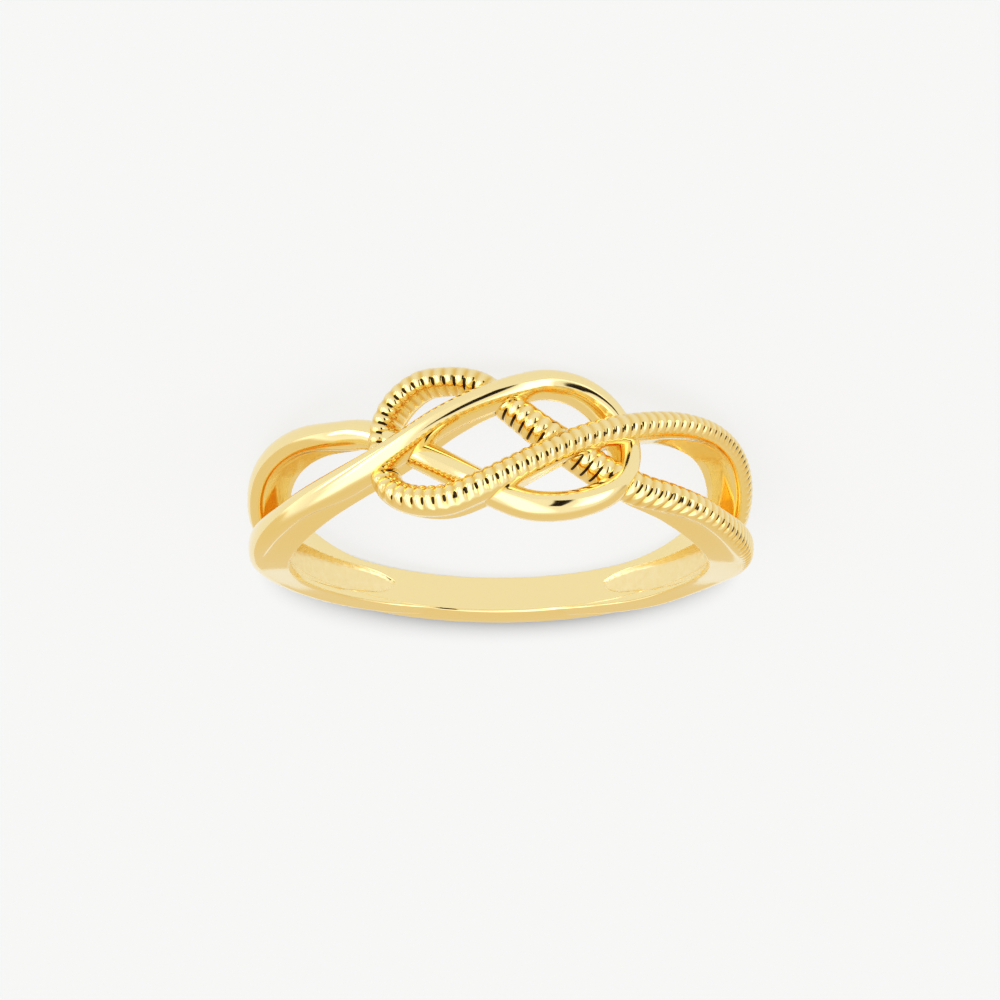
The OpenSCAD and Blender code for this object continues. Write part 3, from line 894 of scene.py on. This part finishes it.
@dataclass
class Studio:
    """Pale lit table, a soft surrounding light with cards in it, a low side light and the camera.

    The low light stands lamp_lift degrees above the table and is lamp_size degrees wide. The camera
    looks at aim, a point of the ring's frame, from distance away, both in millimetres.
    """

    floor_half: float = 3.0
    floor_color: tuple[float, float, float, float] = (0.11, 0.11, 0.11, 1)
    floor_glow: float = 0.177
    surround: float = 1.0
    backdrop: float = 0.93
    least_depth: float = 0.0001
    cards: tuple[Card, ...] = ()
    lamp_lift: float = 23.0
    lamp_size: float = 14.0
    lamp_strength: float = 45.0
    aim: tuple[float, float, float] = (0.045, 2.758, 0.0)
    lift_deg: float = 68.987
    distance: float = 150.0
    lens: float = 132.59
    sensor: float = 36.0
    clip: tuple[float, float] = (0.005, 20.0)

    def build(self, placement: Placement, ground: float, shading: bpy.types.Object) -> None:
        """Make the floor, the lights and the camera.

        Args:
            placement: where the ring's own frame lies.
            ground: height of the floor in metres.
            shading: the piece whose soft shadow the low light lays on the floor.
        """
        view = View.over_knot(placement, self.lift_deg)
        sheet = self.floor(ground)
        self.light(view)
        self.low_light(sheet, shading)
        self.camera(placement, view)

    def floor(self, ground: float) -> bpy.types.Object:
        """Make a square table top, lit from below as a light table is, so that shadows stay weak.

        Args:
            ground: height of the floor in metres.

        Returns:
            The table top.
        """
        h = self.floor_half
        mesh = bpy.data.meshes.new("floor")
        corners = [(-h, -h, ground), (h, -h, ground), (h, h, ground), (-h, h, ground)]
        mesh.from_pydata(corners, [], [(0, 1, 2, 3)])
        sheet = bpy.data.objects.new("floor", mesh)
        bpy.context.scene.collection.objects.link(sheet)
        made = bpy.data.materials.new("light_table")
        made.use_nodes = True
        shader = made.node_tree.nodes["Principled BSDF"]
        shader.inputs["Base Color"].default_value = self.floor_color
        shader.inputs["Roughness"].default_value = 1.0
        shader.inputs["Specular IOR Level"].default_value = 0.0
        shader.inputs["Emission Color"].default_value = (1, 1, 1, 1)
        shader.inputs["Emission Strength"].default_value = self.floor_glow
        mesh.materials.append(made)
        return sheet

    def light(self, view: View) -> None:
        """The surrounding light: an even level with each card blended over it by its mask.

        What lies behind the ring is shown to the camera as an even backdrop.

        Args:
            view: directions of the product view, which the cards are placed by.
        """
        world = bpy.data.worlds.new("studio")
        world.use_nodes = True
        world.node_tree.nodes.clear()
        graph = NodeGraph(world.node_tree)
        ray = graph.add("ShaderNodeTexCoord").outputs["Generated"]
        level: object = (self.surround, self.surround, self.surround, 1)
        for card in self.cards:
            mask = self.card_mask(graph, ray, card, view)
            shade = (*(card.strength * channel for channel in card.tint), 1)
            level = graph.blend(mask, level, shade)
        seen = graph.add("ShaderNodeLightPath").outputs["Is Camera Ray"]
        shown = graph.blend(seen, level, (self.backdrop, self.backdrop, self.backdrop, 1))
        back = graph.add("ShaderNodeBackground", {}, Color=shown, Strength=1.0)
        out = graph.add("ShaderNodeOutputWorld")
        graph.tree.links.new(back.outputs[0], out.inputs[0])
        bpy.context.scene.world = world

    def card_mask(self, graph: NodeGraph, ray: object, card: Card, view: View) -> bpy.types.NodeSocket:
        """The mask of one card over directions.

        A direction is taken apart as x, y and z along the card's own right, up and forward. The mask
        is 1 where |x| / z and |y| / z are inside the tangent of half the width and height in degrees,
        and falls smoothly to 0 from (1 - soft) to (1 + soft) times that tangent.

        Args:
            graph: the world's node graph.
            ray: the socket with the direction.
            card: the card.
            view: directions of the product view.

        Returns:
            The socket with the mask.
        """
        ahead = view.direction(card.right, card.up)
        right = np.cross(view.up, ahead)
        right /= np.linalg.norm(right)
        up = np.cross(ahead, right)
        turn = np.radians(card.roll)
        right, up = right * np.cos(turn) + up * np.sin(turn), up * np.cos(turn) - right * np.sin(turn)

        def along(axis: np.ndarray) -> bpy.types.NodeSocket:
            """How far a direction goes along an axis."""
            return graph.add("ShaderNodeVectorMath", {"operation": "DOT_PRODUCT"}, i0=ray,
                             i1=tuple(axis)).outputs["Value"]

        depth = graph.math("MAXIMUM", along(ahead), self.least_depth)
        sides = []
        for axis, size in ((right, card.width), (up, card.height)):
            away = graph.math("DIVIDE", graph.math("ABSOLUTE", along(axis)), depth)
            edge = np.tan(np.radians(size / 2))
            sides.append(graph.remap(away, (edge * (1 - card.soft), edge * (1 + card.soft)), 1.0, 0.0))
        return graph.math("MULTIPLY", sides[0], sides[1])

    def low_light(self, sheet: bpy.types.Object, shading: bpy.types.Object) -> None:
        """A low soft light from the knot's side, on the floor alone and shaded by one piece alone.

        Args:
            sheet: the floor.
            shading: the piece that throws the shadow.
        """
        data = bpy.data.lights.new("low_light", "SUN")
        data.energy, data.angle = self.lamp_strength, np.radians(self.lamp_size)
        lamp = bpy.data.objects.new("low_light", data)
        lamp.matrix_world = Matrix.Rotation(np.radians(90 - self.lamp_lift), 4, "X").inverted()
        lamp.visible_glossy = False
        bpy.context.scene.collection.objects.link(lamp)
        lit = bpy.data.collections.new("lit_by_low_light")
        lit.objects.link(sheet)
        blocking = bpy.data.collections.new("shading_low_light")
        blocking.objects.link(shading)
        lamp.light_linking.receiver_collection = lit
        lamp.light_linking.blocker_collection = blocking

    def camera(self, placement: Placement, view: View) -> None:
        """Make the camera, which looks over the knot at the inside of the band's bottom.

        Args:
            placement: where the ring's own frame lies.
            view: directions of the product view.
        """
        spot = placement.place(np.array(self.aim)) + view.back * self.distance * MM
        turned = np.stack([view.right, view.up, view.back], axis=1)
        data = bpy.data.cameras.new("product_view")
        data.lens, data.sensor_width, data.sensor_fit = self.lens, self.sensor, "HORIZONTAL"
        data.clip_start, data.clip_end = self.clip
        made = bpy.data.objects.new("product_view", data)
        made.matrix_world = Matrix.Translation(spot) @ Matrix(turned.tolist()).to_4x4()
        bpy.context.scene.collection.objects.link(made)
        bpy.context.scene.camera = made


BROWN = (1.0, 0.62, 0.30)
SAND = (1.0, 0.86, 0.62)
CARDS = (
    # A broad light to the left and a broad shade to the right
    Card(right=-105, up=-20, width=44, height=70, strength=1.35, soft=0.9),
    Card(right=105, up=-8, width=40, height=60, strength=0.6, soft=0.9, tint=SAND),
    # The big soft box under the camera, with a brighter strip along its left edge
    Card(right=-17, up=-43, width=46, height=92, strength=1.75, soft=0.35),
    Card(right=-38, up=-15, width=11, height=62, strength=2.9, soft=0.5, roll=-25),
    # Strip lights to the left and the right
    Card(right=-63, up=5, width=9, height=45, strength=3.0, soft=0.4, roll=-20),
    Card(right=53, up=-14, width=18, height=60, strength=2.2, soft=0.45, roll=12),
    # A dark brown flag, which the crossing of the smooth strand mirrors
    Card(right=28.5, up=-8, width=13, height=58, strength=0.02, soft=0.12, roll=-3, tint=BROWN),
    # A dimmer field behind the ring
    Card(right=0, up=-142, width=150, height=92, strength=0.84, soft=0.35, tint=SAND))

# Columns: light before and light after the picture's tone curve.
TONES = ((0.0, 0.0), (0.12, 0.085), (0.3, 0.262), (0.6, 0.585), (0.93, 0.93), (1.0, 1.0))


def tone(settings: bpy.types.ColorManagedViewSettings) -> None:
    """Deepen the dark half of the picture a little, as a product photograph's contrast does.

    Args:
        settings: the scene's view settings.
    """
    settings.use_curve_mapping = True
    curve = settings.curve_mapping.curves[WHOLE_CURVE]
    curve.points[0].location, curve.points[-1].location = TONES[0], TONES[-1]
    for before, after in TONES[1:-1]:
        curve.points.new(before, after)
    settings.curve_mapping.update()


def lowest(piece: bpy.types.Object) -> float:
    """The height of a piece's lowest point.

    Args:
        piece: a mesh object at the origin.

    Returns:
        The height in metres.
    """
    places = np.empty(3 * len(piece.data.vertices), np.float32)
    piece.data.vertices.foreach_get("co", places)
    return float(places[2::3].min())


def main() -> None:
    """Build the ring's pieces in order, then the studio, and report each through logging."""
    logging.basicConfig(level=logging.INFO, format="%(name)s: %(message)s")
    placement = Placement.from_hole(frame["record"]["mounts"][0])
    pieces = [
        Shank(name="shank", corner_r=0.085).build(placement, GoldFinish(name="gold_shank")),
        Strand(name="smooth_strand", path=SMOOTH_PATH).build(placement, GoldFinish(name="gold_smooth")),
        Strand(name="ribbed_strand", path=RIBBED_PATH, top_r=0.52, knot_r=0.57, crest=0.515, wall_t=0.87,
               rib_depth=0.066, lift=0.005).build(placement, GoldFinish(name="gold_ribbed"))]
    ground = min(0.0, *(lowest(piece) for piece in pieces))
    log.info("floor at %.3f mm", ground / MM)
    Studio(cards=CARDS).build(placement, ground, pieces[0])
    scene = bpy.context.scene
    scene.view_settings.view_transform = "Standard"
    tone(scene.view_settings)
    scene.cycles.use_denoising = True
    scene.cycles.max_bounces = LIGHT_BOUNCES
    scene.cycles.glossy_bounces = LIGHT_BOUNCES


if __name__ == "__main__":
    main()
